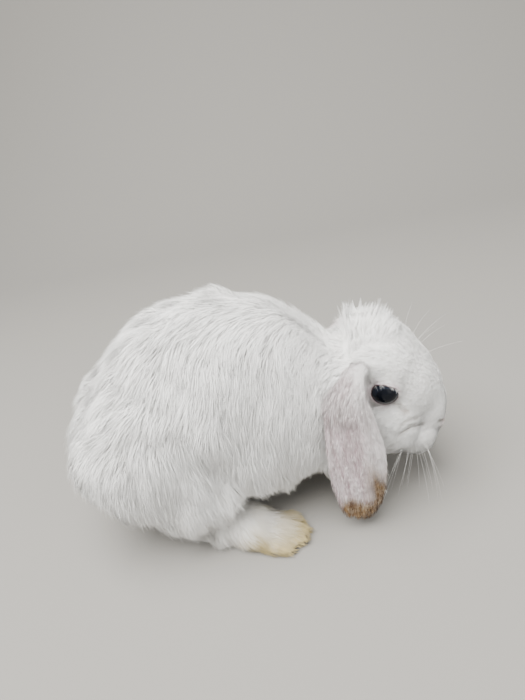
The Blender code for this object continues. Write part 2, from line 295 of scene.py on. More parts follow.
# ------------------------------
# The lie of the coat.  A groomer's guide locks: where each grows, which way its hair lies, how
# long it is, the angle at which it rises, in radians, and how deep the coat is there.
# The hair of any other place is the mean of the guides near it; both sides are alike.
GUIDES = np.array((
    # place, mm; lie, in hundredths; length, mm; rise; depth, mm
    (113, 0, 55, -30, 10, 95, 3, 0.16, 0.5),  # bridge of the nose
    (109, 0, 78, -35, 5, 95, 4, 0.18, 0.7),
    (100, 0, 100, -70, 5, 70, 5.5, 0.26, 1.4),  # forehead
    (90, 0, 115, -25, 0, 95, 6.5, 0.5, 3.6),
    (76, 0, 125, 10, 0, 100, 7.5, 0.9, 9.5),  # crown, which stands up
    (62, 0, 122, -90, 0, -45, 6, 0.2, 8.5),
    (110, 9, 47, -90, 20, 15, 2.6, 0.16, 0.5),  # side of the nose
    (104, 14, 55, -85, 10, 30, 3.2, 0.18, 0.6),
    (98, 15, 40, -80, 15, -55, 5, 0.26, 1),  # whisker pad
    (97, 19, 74, -60, 10, 75, 3.6, 0.18, 0.6),  # before the eye
    (84, 24, 98, -65, 10, 75, 4.6, 0.2, 0.9),  # over the eye
    (68, 24, 90, -95, 5, 0, 6, 0.22, 1.3),
    (90, 20, 66, -92, 10, -35, 5, 0.24, 0.9),  # under the eye
    (80, 28, 60, -85, 5, -52, 8, 0.28, 2),  # cheek
    (74, 28, 45, -70, 5, -70, 9, 0.25, 2.8),
    (92, 9, 24, -85, 5, -50, 6.5, 0.32, 2),  # chin
    (72, 6, 40, -60, 5, -78, 12, 0.2, 3.5),  # throat
    (56, 31, 84, -60, 5, -78, 12, 0.16, 3.2),  # neck
    (50, 8, 122, -70, 30, -45, 12, 0.3, 3),  # nape
    (34, 38, 92, -10, 5, -100, 16, 0.15, 3.6),  # shoulder
    (42, 34, 55, -5, 0, -100, 15, 0.16, 3.4),
    (64, 14, 30, -30, 0, -95, 12, 0.16, 3),  # chest
    (26, 14, 140, -60, 45, -40, 15, 0.27, 4),  # back
    (-5, 14, 148, -50, 50, -30, 16, 0.3, 4),
    (-42, 14, 146, -60, 45, -35, 17, 0.26, 5.6),
    (-80, 14, 128, -75, 25, -55, 15, 0.17, 8.4),
    (-104, 12, 102, -70, 10, -75, 14, 0.22, 8.2),  # rump
    (-114, 10, 72, -40, 15, -92, 14, 0.24, 6.2),
    (-118, 0, 52, -35, 0, 60, 9, 0.35, 5),  # tail
    (-122, 0, 36, -75, 0, 30, 9, 0.35, 5),
    (12, 36, 122, -15, 20, -95, 17, 0.17, 4.2),  # ribs
    (-22, 42, 124, -30, 20, -93, 17, 0.17, 4.2),
    (8, 47, 84, 5, 5, -100, 18, 0.16, 4),  # flank
    (2, 44, 46, 5, 0, -100, 19, 0.2, 4),
    (0, 14, 13, -85, 15, -10, 11, 0.14, 3.4),  # belly
    (-60, 44, 114, -60, 20, -78, 17, 0.17, 4.2),  # loin
    (-92, 38, 98, -75, 20, -60, 16, 0.17, 5.4),
    (-104, 34, 72, -55, 20, -80, 17, 0.22, 4.2),  # back of the thigh
    (-66, 60, 74, -25, 5, -96, 18, 0.16, 3.8),  # thigh
    (-30, 58, 64, 0, 5, -100, 18, 0.16, 3.8),
    (-58, 58, 44, -5, 0, -100, 19, 0.18, 3.6),
    (-18, 50, 36, 10, 5, -100, 16, 0.2, 3.4),  # knee
    (-54, 52, 26, 0, 10, -100, 18, 0.2, 3.6),  # hem over the hock
    (-32, 50, 24, 15, 10, -99, 15, 0.22, 3.2),
    (62, 27, 105, -45, 45, -75, 9, 0.25, 2),  # over the root of the ear
    (71, 26, 87, -90, 10, 10, 3.4, 0.14, 0.9),  # behind the eye
    (46, 26, 108, -35, 30, -88, 12, 0.17, 3.6),  # side of the neck
    (-98, 24, 34, -30, 10, -95, 16, 0.24, 4.4),  # under the rump
    (-30, 36, 26, 90, 18, -40, 9, 0.22, 2.2),  # hind foot
    (-6, 40, 22, 90, 18, -40, 8.5, 0.2, 2.2),
    (14, 44, 10, 80, 18, -52, 7.5, 0.2, 1.4),  # toes
    (-60, 30, 3, 97, 18, 0, 6, 0.12, 1.8),
    (50, 24, 36, 20, 5, -97, 7, 0.14, 2),  # foreleg
    (66, 20, 10, 90, 5, -40, 4.5, 0.18, 1.2)))  # paw
GUIDE_REACH = 0.0125


def folded(points):
    """Points of both sides laid on the left one."""
    return np.stack([points[:, 0], np.abs(points[:, 1]), points[:, 2]], -1)


def combed(points):
    """Lie, length, rise and depth at each point: a mean of the guides, each weighted by
    exp(-distance^2 / 2 reach^2), with y taken without its sign and given back to the lie."""
    places = GUIDES[:, :3] / 1000
    squares = ((folded(points)[:, None] - places[None]) ** 2).sum(-1)
    weight = np.exp((squares.min(1, keepdims=True) - squares) / (2 * GUIDE_REACH ** 2))
    mean = (weight / weight.sum(1, keepdims=True)) @ GUIDES[:, 3:]
    sideways = np.tanh(points[:, 1] / 0.018)
    lie = unit(np.stack([mean[:, 0], mean[:, 1] * sideways, mean[:, 2]], -1))
    return lie, mean[:, 3] / 1000, mean[:, 4], mean[:, 5] / 1000


def along_path(points, path, level=0.4):
    """Distance of each point to a smooth path on the left side, given in mm, its height off the
    midplane counting only in part, because the skin's own swell decides that."""
    scale = np.array((1, level, 1))
    line = smooth_between(path, 14) / 1000 * scale
    near = folded(points) * scale
    return np.sqrt(((near[:, None] - line[None]) ** 2).sum(-1).min(1))


def let_in(points, normals, width, depth, path):
    """Points sunk along their normals by depth * exp(-(distance to the path / width)^2), all
    in mm; a depth below zero makes a swelling."""
    sunk = depth / 1000 * np.exp(-(along_path(points, path) * 1000 / width) ** 2)
    return points - normals * sunk[:, None]


def swells(points):
    """The slow waves in a full coat: nine plane waves 13 to 38 mm long, half their sum."""
    ways = np.random.default_rng(5).normal(0, 1, (9, 3)) * (1, 1, 0.5)
    waves = unit(ways) * (2 * np.pi / np.geomspace(0.013, 0.038, 9))[:, None]
    return np.sin(points @ waves.T + np.arange(9) * 2.4).sum(1) / 2


FOLDS = (
    # width, depth and path, mm
    (4, 3.2, ((-66, 43, 107), (-60, 42.7, 110.9), (-50.4, 43.1, 113.7), (-41.8, 43.2, 115.6))),
    (5, -1.8, ((-74, 44, 100), (-59.1, 44.5, 105), (-49.9, 45.3, 107), (-30.9, 47.7, 105))),
    (5.5, 2.6, ((-26, 52, 78), (-24, 53.5, 62), (-19, 54, 46))),        # before the thigh
    (5, -1.5, ((-7.2, 43.3, 110.2), (-9.3, 46.8, 100.2), (-11.5, 49.6, 85.9))),
    (8, -1.2, ((-13, 20.6, 140.1), (-7, 20.6, 140.1))),                 # back
    (8, -1.2, ((-44, 23.5, 136.6), (-39, 23.5, 136.6))),
    (1.6, 1.2, ((44.5, 32, 96), (46, 28.3, 102.5), (49, 23.6, 106.5), (54, 18.5, 107),
                (60, 16, 105.5), (65, 17.5, 105), (68.5, 25, 103.5))),  # round the ear's root
    (6, -1, ((30, 5, 134), (40, 5.5, 126), (51, 6.5, 114))))            # nape
skin_normals = normals_of(body, body_faces)
for fold in FOLDS:
    body = let_in(body, skin_normals, *fold)
_, skin_length, _, skin_depth = combed(body)
wave = 0.0008 - 0.0007 * ramp(0.005, 0.03, body[:, 0])
wave = wave * ramp(0.006, 0.014, skin_length) * swells(body)
body = body + skin_normals * (wave - skin_depth)[:, None]
body = softened(body, body_faces, 2, np.full(len(body), 0.5))
body[:, 2] = np.maximum(body[:, 2], SKIN_LOWEST)

# ------------------------------
# The face.  The lids are skin drawn over the eyeball and parted in an almond; the nostrils,
# the cleft under the nose, the mouth and the creases round the whisker pads are let into it.
EYE_RADIUS = 0.0085
EYE_TILT = np.radians(-30)
GAZE_DOWN = np.radians(6)
GAZE = np.array((0, np.cos(GAZE_DOWN), -np.sin(GAZE_DOWN)))
EYE_ALONG = np.array((np.cos(EYE_TILT), 0, np.sin(EYE_TILT)))
EYE_ACROSS = np.cross(EYE_ALONG, GAZE)
OPEN_FRONT, OPEN_REAR, OPEN_UP, OPEN_DOWN = np.radians((57, 62, 47, 50))
OPEN_POWER = 2.3
LID_THICKNESS = 0.0007
LID_RIM = 0.0004


def opening(along, across):
    """Half angle of the lids' opening over the eyeball towards (along, across): the curve
    (a / A)^n + (b / B)^n = 1, with its own A before and behind and B above and below."""
    length = np.hypot(along, across) + 1e-9
    a = np.abs(along / length) / np.where(along > 0, OPEN_FRONT, OPEN_REAR)
    b = np.abs(across / length) / np.where(across > 0, OPEN_UP, OPEN_DOWN)
    return (a ** OPEN_POWER + b ** OPEN_POWER) ** (-1 / OPEN_POWER)


def lid_reach(points):
    """How far out a point lies over the eyeball, as its angle from the gaze in shares of the
    opening's own half angle that way: 0 at the pupil, 1 on the rim of the lids."""
    away = folded(points) - EYE_AT
    along, across = away @ EYE_ALONG, away @ EYE_ACROSS
    reach = np.arctan2(np.hypot(along, across), away @ GAZE) / opening(along, across)
    return np.where(np.linalg.norm(away, axis=1) < 0.02, reach, 9)


def with_lids(points):
    """Skin round the eye: near the rim it lies a lid's thickness over the ball, and inside the
    opening it sinks behind the ball."""
    away = folded(points) - EYE_AT
    distance = np.linalg.norm(away, axis=1)
    reach = lid_reach(points)
    drawn = (1 - ramp(1, 1.9, reach)) * ramp(0.019, 0.014, distance)
    wanted = distance + (EYE_RADIUS + LID_THICKNESS - distance) * drawn
    wanted = np.where(reach < 1, EYE_RADIUS - 0.0004 - 0.003 * ramp(1, 0.75, reach), wanted)
    near = (away[:, 1] > -0.002) & (reach < 1.9)
    moved = EYE_AT + away * (wanted / distance)[:, None]
    moved[:, 1] *= np.sign(points[:, 1])
    return np.where(near[:, None], moved, points)


body = with_lids(body)
unfolded = body.copy()
FACE_FROM = 0.07
face = np.nonzero(body[:, 0] > FACE_FROM)[0]
face_normals = normals_of(body, body_faces)[face]
RELIEF = (
    # width, depth and path, mm
    (5.5, -1.6, ((98.5, 13, 42), (90, 20, 46))),                        # whisker pad
    (4, -0.6, ((115.5, 0, 44), (114, 3, 44))),                          # nose
    (1.7, 1.9, ((101.1, 14.9, 50.3), (97, 19.7, 54.8), (94.4, 22.9, 57), (91.3, 25.1, 57.9),
                (88.2, 26.4, 57.2))),                                   # over the pad
    (1.2, 0.8, ((97.5, 19, 60), (93.7, 22.5, 62.6), (89.4, 25.3, 62.7))),
    (1.2, 0.9, ((87, 20.5, 74), (89.4, 21.5, 70.3), (92, 21.5, 67))),   # under the eye
    (2.2, 1.6, ((74.5, 25, 89), (71, 26.3, 94.2), (67, 27, 97))),       # before the ear
    (0.9, 2, ((115, 3, 42.5), (113.5, 5.5, 45), (111, 7, 48))),         # nostril
    (0.7, 1.6, ((117, 0, 42), (113, 0, 36), (108, 0, 30), (102, 0, 24))),
    (1.6, 0.4, ((115, 0, 37), (111, 6, 39.5), (107, 10, 45))),
    (1.2, 0.9, ((106, 1, 26.5), (100, 8, 25.5), (93, 12, 28.5), (87, 16, 33))))  # mouth
# Painted shade: the floors of these creases are painted darker, by these shares.
SHADED_CREASES = RELIEF[2:7]                       # creases whose floor is darker, and by how much
CREASE_SHADINGS = (0.6, 0.3, 0.45, 0.35, 0.5)
for crease in RELIEF:
    body[face] = let_in(body[face], face_normals, *crease)


def from_gaze(angle, psi):
    """Directions from the middle of the eyeball: at an angle from the gaze, psi round it."""
    aside = np.cos(psi)[..., None] * EYE_ALONG + np.sin(psi)[..., None] * EYE_ACROSS
    return np.sin(angle)[..., None] * aside + np.cos(angle)[..., None] * GAZE


def lid_rim(side):
    """The bare margin of the lids: a thin tube along the rim of the opening, on the ball."""
    around, turns = 10, 64
    psi = full_turn(turns)
    outward = from_gaze(opening(np.cos(psi), np.sin(psi)), psi)
    spine = EYE_AT + outward * (EYE_RADIUS + 0.0001)
    tangent = unit(np.roll(spine, -1, 0) - np.roll(spine, 1, 0))
    sideways = np.cross(outward, tangent)
    turn = -full_turn(around)[None, :, None]
    rings = (spine[:, None] + LID_RIM * (np.cos(turn) * sideways[:, None]
                                         + np.sin(turn) * outward[:, None]))
    k, row = np.arange(around), np.arange(turns)[:, None]
    here, there, after = row * around, (row + 1) % turns * around, (k + 1) % around
    triangles = halved(here + k, here + after, there + after, there + k)
    return rings.reshape(-1, 3) * (1, side, 1), triangles[:, ::-side]


# ------------------------------
# The ears.  Each hangs from a fold at the side of the crown: a thin sheet of gristle and skin
# whose edges turn in towards the cheek, with a rolled rear rim and long shallow folds.
EAR_AROUND = 56
EAR_WIDTH = 33.5
EAR_THICKNESS = 4.2
EAR_COAT = 0.0008
EAR_ROLL = np.array((np.cos(np.radians(35)), 0, np.sin(np.radians(35))))
EAR_STATIONS = smooth_between((
    # x, y, z of the middle, width, thickness, turn-in of the edges, all in mm
    (68, 15, 94.5, 15, 10, 0),
    (67.2, 23.5, 99.4, 13, 9.5, 1),
    (63.8, 31, 99, 15.5, 8.5, 2.5),
    (59.8, 36.6, 91, 22.5, 6.5, 4.5),
    (59.2, 40, 77, 28.5, EAR_THICKNESS, 5.5),
    (60, 41.5, 56, EAR_WIDTH, EAR_THICKNESS, 5.5),
    (59.6, 42, 37, EAR_WIDTH * 0.97, EAR_THICKNESS, 5),
    (58.7, 41.8, 22, EAR_WIDTH * 0.81, EAR_THICKNESS, 3.5),
    (57.5, 41.2, 13.5, EAR_WIDTH * 0.64, EAR_THICKNESS * 0.9, 2),
    (56.2, 40.8, 9.5, EAR_WIDTH * 0.42, EAR_THICKNESS * 0.6, 0.5)), 9) / 1000


def ear_form(side):
    """Rings across the ear: width/2 cos t across it, thickness/2 sin t through it, less the
    turn-in times cos^2 t, with a rolled rim behind and folds that run down the outer face."""
    middle, (width, thickness, turn_in) = EAR_STATIONS[:, :3], EAR_STATIONS[:, 3:].T[..., None]
    along = unit(np.gradient(middle, axis=0))
    through = unit(np.cross(EAR_ROLL, along))
    across = np.cross(along, through)
    turn = full_turn(EAR_AROUND)
    down = np.linspace(0, 1, len(middle))[:, None]
    outer = np.clip(np.sin(turn), 0, 1)[None]
    spread = np.cos(turn)[None]
    hanging = ramp(0.22, 0.4, down) * (1 - ramp(0.8, 0.97, down))
    rim = 0.0008 * np.exp(-((spread + 0.94) / 0.06) ** 2)
    rim = rim - 0.0012 * np.exp(-((spread + 0.8) / 0.07) ** 2)
    folds = 0.00035 * np.sin(11 * spread + 5 * down) * (1 - np.abs(spread))
    gutter = -0.0013 * np.exp(-((spread + 0.35 - 0.3 * down) / 0.24) ** 2)
    relief = outer ** 0.5 * hanging * (rim + folds + gutter)
    aside = (width / 2 - EAR_COAT) * np.cos(turn)
    depth = (thickness / 2 - EAR_COAT) * np.sin(turn) - turn_in * (np.cos(turn) ** 2 - 0.4) + relief
    rings = middle[:, None] + across[:, None] * aside[..., None] + through[:, None] * depth[..., None]
    points, triangles = closed_rings(rings)
    return points * (1, side, 1), triangles[:, ::-side]


ears = [ear_form(side) for side in (1, -1)]
rims = [lid_rim(side) for side in (1, -1)]

# ------------------------------
# The skin, in one piece from nose to tail: body, lids and ears.  It is pale pink under white
# hair; where the hair is only a thin down, as on nose, lids and ears, its colour shows.
skin_points, skin_faces = joined([(body, body_faces)] + ears + rims)
skin_normals = normals_of(skin_points, skin_faces)
ear_start = len(body)
rim_start = ear_start + 2 * len(ears[0][0])
ear_mask = np.zeros(len(skin_points))
ear_mask[ear_start:rim_start] = 1
NOSE_TIP = (0.1165, 0, 0.0425)
EAR_FOLD = (0.0583, 0.036, 0.104)


def markings_and_shade(points, ear):
    """Four marks at each point, 0 to 1: pink, of bare or thinly haired skin; stain, the wet yellow of
    the toes; painted shade that greys belly and hem towards the floor; tan, the dry brown of the ear
    tips, with painted shade along the face's creases and nostrils."""
    x, y, z = folded(points).T
    nose = ramp(0.0095, 0.0045, np.linalg.norm((points - NOSE_TIP) * (1, 0.8, 1), axis=1))
    lids = ramp(1.5, 1.05, lid_reach(points)) * (1 - ear)
    lids = lids * ramp(0.0135, 0.01, np.linalg.norm(folded(points) - EYE_AT, axis=1))
    fold = ramp(0.008, 0.003, np.linalg.norm(folded(points) - EAR_FOLD, axis=1))
    ear_pink = 1 - 0.5 * ramp(0.06, 0.072, x) - 0.25 * ramp(0.085, 0.1, z) + 0.6 * fold
    pink = np.maximum(np.maximum(nose * 0.6, lids * 0.7), ear * ear_pink)
    wave = 0.006 * np.sin(x * 190) + 0.004 * np.sin(x * 431 + 1)
    stain = ramp(-0.032, -0.004, x) * ramp(0.06, 0.045, x) * (1 - ear)
    stain = stain * ramp(0.0165, 0.006, z + wave * 0.3)
    # Painted shade: belly, lower flank and hem grey towards the floor.
    shade_below = ramp(0.062, 0.012, z + wave) * ramp(0.085, 0.045, x) * (1 - ear)
    # Painted shade: the floors of the face's creases and nostrils are darkened through the tan mark.
    crease = sum(np.exp(-(along_path(points, path, 0.3) / 0.0011) ** 2) * share
                 for share, (_, _, path) in zip(CREASE_SHADINGS, SHADED_CREASES))
    tip = ramp(0.028, 0.018, z + wave * 0.6)
    edge = ramp(0.058, 0.036, z + wave) * ramp(0.058, 0.071, x + wave * 0.5)
    tan_and_crease_shade = np.maximum(ear * np.maximum(tip, edge), crease * (1 - ear) * ramp(0.06, 0.066, x))
    return np.stack([pink, stain, shade_below, tan_and_crease_shade], -1)


skin_marks_and_shade = markings_and_shade(skin_points, ear_mask)
skin_marks_and_shade[rim_start:] = (1, 0, 0, 0)
skin = put_mesh("skin", skin_points, skin_faces)


def add_colours(thing, name, values):
    """A colour for each point, from four numbers a point."""
    layer = thing.data.color_attributes.new(name, "FLOAT_COLOR", "POINT")
    layer.data.foreach_set("color", np.ravel(values).astype(np.float32))


add_colours(skin, "marks_and_shade", skin_marks_and_shade)
bpy.context.view_layer.objects.active = skin
skin.select_set(True)
bpy.ops.object.mode_set(mode="EDIT")
bpy.ops.mesh.select_all(action="SELECT")
bpy.ops.uv.smart_project(angle_limit=np.radians(66), island_margin=0.002)
bpy.ops.object.mode_set(mode="OBJECT")
skin.select_set(False)
skin.data.uv_layers[0].name = "OFBake"
skin_uv = np.empty(len(skin.data.loops) * 2, np.float32)
skin.data.uv_layers[0].data.foreach_get("uv", skin_uv)
skin_uv = skin_uv.reshape(-1, 3, 2)
flesh = [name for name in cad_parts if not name.startswith("eye_")]
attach(skin, "root")
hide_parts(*flesh)


class Shade:
    """A socket of a material's nodes; Python's + and * on it add Math nodes."""

    def __init__(self, tree, socket=None):
        self.tree, self.socket = tree, socket

    def node(self, kind, settings, sockets, out=0):
        """A node of a kind: its settings first, then the values or links of its sockets."""
        made = self.tree.nodes.new(kind)
        for name, value in settings.items():
            setattr(made, name, value)
        for name, value in sockets.items():
            if isinstance(value, Shade):
                self.tree.links.new(value.socket, made.inputs[name])
            else:
                made.inputs[name].default_value = value
        return Shade(self.tree, made.outputs[out])

    def math(self, operation, first, second):
        return self.node("ShaderNodeMath", {"operation": operation}, {0: first, 1: second})

    def __add__(self, other):
        return self.math("ADD", self, other)

    def __mul__(self, other):
        return self.math("MULTIPLY", self, other)

    def clip(self, low, high):
        """0 at low, 1 at high, straight between and kept within."""
        return self.node("ShaderNodeMapRange", {"clamp": True},
                         {0: self, 1: low, 2: high, 3: 0, 4: 1})

    def mixed(self, first, second):
        """Two colours mixed by this share of the second."""
        first, second = ((*c, 1) if isinstance(c, tuple) else c for c in (first, second))
        return self.node("ShaderNodeMix", {"data_type": "RGBA"}, {0: self, 6: first, 7: second}, 2)

    def attribute(self, name, out=0):
        """A colour held by the points, or its fourth number (3), or a single number (2)."""
        return self.node("ShaderNodeAttribute", {"attribute_name": name}, {}, out)

    def parts(self):
        """The three parts of a colour."""
        return [self.node("ShaderNodeSeparateColor", {}, {0: self}, k) for k in range(3)]

    def noise(self, scale, detail, drawn_out=1):
        """A noise about 0.5, with so many waves to a metre, drawn out downwards."""
        place = self.node("ShaderNodeTexCoord", {}, {}, 3)
        place = self.node("ShaderNodeMapping", {}, {"Vector": place, "Scale": (1, 1, drawn_out)})
        return self.node("ShaderNodeTexNoise", {}, {"Vector": place, "Scale": scale, "Detail": detail})

    def feeds(self, name):
        """Links this to a socket of the material's shader."""
        self.tree.links.new(self.socket, self.tree.nodes["Principled BSDF"].inputs[name])


def principled(name, roughness, **constants):
    """A material, and a Shade to start from; constants set the shader's own sockets."""
    made = bpy.data.materials.new(name)
    made.use_nodes = True
    shader = made.node_tree.nodes["Principled BSDF"]
    shader.inputs["Roughness"].default_value = roughness
    for socket, value in constants.items():
        shader.inputs[socket.replace("_", " ")].default_value = value
    return made, Shade(made.node_tree)


def streaked(shade):
    """A 0-to-1 noise drawn out downwards, as the fine hair and veins of the ears are."""
    return (shade.noise(900, 3, 0.13) * 0.6 + shade.noise(260, 2, 0.13) * 0.4).clip(0.4, 0.6)


def marked_and_shaded(shade, plain, thin, dry_and_crease_shade):
    """The plain colour with the markings of skin and coat over it, and painted shade: greyer towards
    the floor and darker along the face's creases.
    """
    pink, stain, shade_below = shade.attribute("marks_and_shade").parts()
    colour = pink.mixed(plain, thin)
    # Painted shade: greyer towards the floor on belly and hem.
    colour = (shade_below * 0.6).mixed(colour, (0.7, 0.67, 0.62))
    colour = (stain * 0.95).mixed(colour, (0.44, 0.35, 0.16))
    # The tan mark: dry brown on the ear tips, and painted shade along the face's creases.
    return (shade.attribute("marks_and_shade", 3) * 1.2).clip(0, 1).mixed(colour, dry_and_crease_shade)


skin_look, shade = principled("skin_look", 0.6, Specular_IOR_Level=0.25, Sheen_Weight=0.15,
                              Sheen_Roughness=0.5)
mottle = shade.noise(260, 3)
down = shade.noise(2600, 2)
plain = mottle.clip(0.3, 0.7).mixed((0.9, 0.89, 0.87), (0.94, 0.935, 0.93))
thin = streaked(shade).mixed((0.4, 0.28, 0.31), (0.68, 0.58, 0.62))
# Dry brown for the ear tips; the same colour darkens the face's creases as painted shade.
dry_and_crease_shade = mottle.clip(0.35, 0.65).mixed((0.2, 0.12, 0.07), (0.48, 0.38, 0.26))
marked_and_shaded(shade, plain, thin, dry_and_crease_shade).feeds("Base Color")
shade.node("ShaderNodeBump", {}, {"Strength": 0.35, "Distance": 0.0003, "Height": down}).feeds("Normal")
skin.data.materials.append(skin_look)
skin.data.materials.append(principled("lid_look", 0.35, Base_Color=(0.07, 0.04, 0.045, 1))[0])
is_rim = (skin_faces[:, 0] >= rim_start).astype(np.int32)
skin.data.polygons.foreach_set("material_index", is_rim)

# ------------------------------
# The eyes: nearly black globes, almost all of what shows being pupil and dark iris, with a
# clear domed cornea, wet, sunk behind the lids.
CORNEA_RISE = 0.05


def eye_form(side):
    """Rings round the gaze at angle v: radius R (1 + rise exp(-(v / 0.75)^4)), closed behind."""
    v = (np.linspace(0, 1, 44)[:, None] ** 0.8) * 0.98 * np.pi + 0.012
    radius = EYE_RADIUS * (1 + CORNEA_RISE * np.exp(-(v / 0.75) ** 4))
    points, triangles = closed_rings(from_gaze(v, full_turn(64)) * radius[..., None] + EYE_AT)
    angle = np.arccos(np.clip(unit(points - EYE_AT) @ GAZE, -1, 1))
    return points * (1, side, 1), triangles[:, ::side], angle


eye_look, shade = principled("eye_look", 0.09, Specular_IOR_Level=0.14)
angle = shade.attribute("gaze", 2) * (1 / np.pi) + shade.noise(900, 3) * 0.02
rings = shade.node("ShaderNodeValToRGB", {}, {0: angle + -0.01})
IRIS = ((0.2, (0.004, 0.005, 0.008)), (0.23, (0.012, 0.015, 0.024)), (0.36, (0.01, 0.012, 0.019)),
        (0.41, (0.005, 0.005, 0.007)), (0.52, (0.02, 0.016, 0.016)))
stops = rings.socket.node.color_ramp.elements
while len(stops) < len(IRIS):
    stops.new(1)
for stop, (share, colour) in zip(stops, IRIS):
    stop.position, stop.color = share, (*colour, 1)
rings.feeds("Base Color")
for side, name in ((1, "eye_left"), (-1, "eye_right")):
    points, triangles, angle = eye_form(side)
    eye = put_mesh("globe_" + name[4:], points, triangles)
    layer = eye.data.attributes.new("gaze", "FLOAT", "POINT")
    layer.data.foreach_set("value", angle.astype(np.float32))
    eye.data.materials.append(eye_look)
    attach(eye, "root")
    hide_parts(name)

# ------------------------------
# The coat: soft white hair in fine locks, each a closed sliver that rises from the skin, lies
# back along the body and comes to a point.  Tips draw together in tufts, as real fur does.
CREST_TOP = 0.1252
GUARD_SHARE = 0.13      # of the hairs, which rise twice as steeply
MIDWAY = 0.42           # where along its length a lock is widest
HAIR_LOWEST = 0.0003
ROOT_DEPTH = 0.0003
PATCH = 0.003           # of the unwrap, for one hair
SHORT = 0.0093          # hair of the head and feet, against that of the body
HEAD_FROM, HEAD_ABOVE = 0.055, 0.022
BODY_LOCKS, FACE_LOCKS, EAR_LOCKS, FOOT_LOCKS = 25000, 24000, 15000, 14000
rng = np.random.default_rng(20)
skin_lie, skin_length, skin_rise, _ = combed(skin_points)


def crested(points, lie, length, rise):
    """The crest between the ears, whose hair stands straight up to a level top, with a sheer
    rear and a front that leans over the brow."""
    x, y, z = folded(points).T
    share = (ramp(0.063, 0.064, x) * ramp(0.092, 0.083, x) * ramp(0.0165, 0.01, y)
             * ramp(0.098, 0.103, z))
    top = CREST_TOP - 0.0035 * ramp(0.082, 0.092, x) - 0.005 * (y / 0.0145) ** 2
    lean = 0.02 + 0.6 * ramp(0.068, 0.088, x)
    up = unit(np.stack([lean, points[:, 1] * 12, np.ones(len(points))], -1))
    reach = np.clip((top - z) / up[:, 2], 0.0045, 0.02)
    return (np.where(share[:, None] > 0.02, up, lie), length + (reach - length) * share ** 2,
            rise + (1.25 - rise) * share)


skin_lie, skin_length, skin_rise = crested(skin_points, skin_lie, skin_length, skin_rise)
ear_along = unit(np.gradient(EAR_STATIONS[:, :3], axis=0))
ear_lie = np.concatenate([np.repeat(ear_along, EAR_AROUND, axis=0), ear_along[[0, -1]]])
ear_down = np.append(np.repeat(np.linspace(0, 1, len(EAR_STATIONS)), EAR_AROUND), (0, 1))
ear_edge = np.append(np.tile(np.cos(full_turn(EAR_AROUND)), len(EAR_STATIONS)), (0, 0))
ear_length = (0.0052 + 0.005 * ramp(0.48, 0.3, ear_down) * ramp(0.12, 0.24, ear_down)
              * ramp(0.7, 0.1, ear_edge) - 0.0014 * ramp(0.82, 0.95, ear_down))
ear_rise = 0.15 + 0.08 * ramp(0.45, 0.3, ear_down) + 0.4 * ramp(0.84, 0.96, ear_down)
for number, side in enumerate((1, -1)):
    part = slice(ear_start + number * len(ear_lie), ear_start + (number + 1) * len(ear_lie))
    skin_lie[part] = ear_lie * (1, side, 1)
    skin_length[part] = ear_length
    skin_rise[part] = ear_rise
is_bare = (lid_reach(skin_points) < 1.14) & (ear_mask < 0.5)
is_bare |= (np.linalg.norm(skin_points - NOSE_TIP, axis=1) < 0.004)
is_bare |= (skin_points[:, 2] < 0.002)
is_bare[rim_start:] = True
is_bare[ear_start:rim_start] |= np.tile(ear_down < 0.09, 2)
bridged = skin_points.copy()
bridged[:ear_start] = body * 0.45 + unfolded * 0.55
hair_tree = BVHTree.FromPolygons(bridged.tolist(), skin_faces.tolist())


def scattered(allowed, density, count):
    """Roots over the allowed triangles, as many to an area as the points' density says:
    place, normal, lie, length, rise, marks and unwrap of each."""
    a, b, c = (skin_points[skin_faces[:, k]] for k in range(3))
    area = np.linalg.norm(np.cross(b - a, c - a), axis=1)
    chance = area * density[skin_faces].mean(1) * allowed
    pick = rng.choice(len(skin_faces), count, p=chance / chance.sum())
    share = rng.random((count, 2))
    share = np.where(share.sum(1, keepdims=True) > 1, 1 - share, share)
    share = np.concatenate([1 - share.sum(1, keepdims=True), share], 1)

    def at_roots(values):
        values = values[skin_faces[pick]]
        return (values * share.reshape(share.shape + (1,) * (values.ndim - 2))).sum(1)

    return dict(place=at_roots(skin_points), normal=unit(at_roots(skin_normals)),
                lie=unit(at_roots(skin_lie)), length=at_roots(skin_length),
                rise=at_roots(skin_rise), marks_and_shade=at_roots(skin_marks_and_shade),
                uv=(skin_uv[pick] * share[..., None]).sum(1))


def clumped(place, spacing):
    """The number of the tuft that each root belongs to: that of the nearest of some roots drawn
    about a spacing apart."""
    rough = np.unique(np.floor(place / spacing).astype(int), axis=0, return_index=True)[1]
    tree = KDTree(len(rough))
    for number, index in enumerate(rough):
        tree.insert(place[index], number)
    tree.balance()
    return np.array([tree.find(spot)[1] for spot in place])


def tuft_mean(values, tuft):
    """Each root's values replaced by the mean of its tuft."""
    weight = np.maximum(np.bincount(tuft), 1)
    return np.stack([np.bincount(tuft, column) / weight for column in values.T], -1)[tuft]


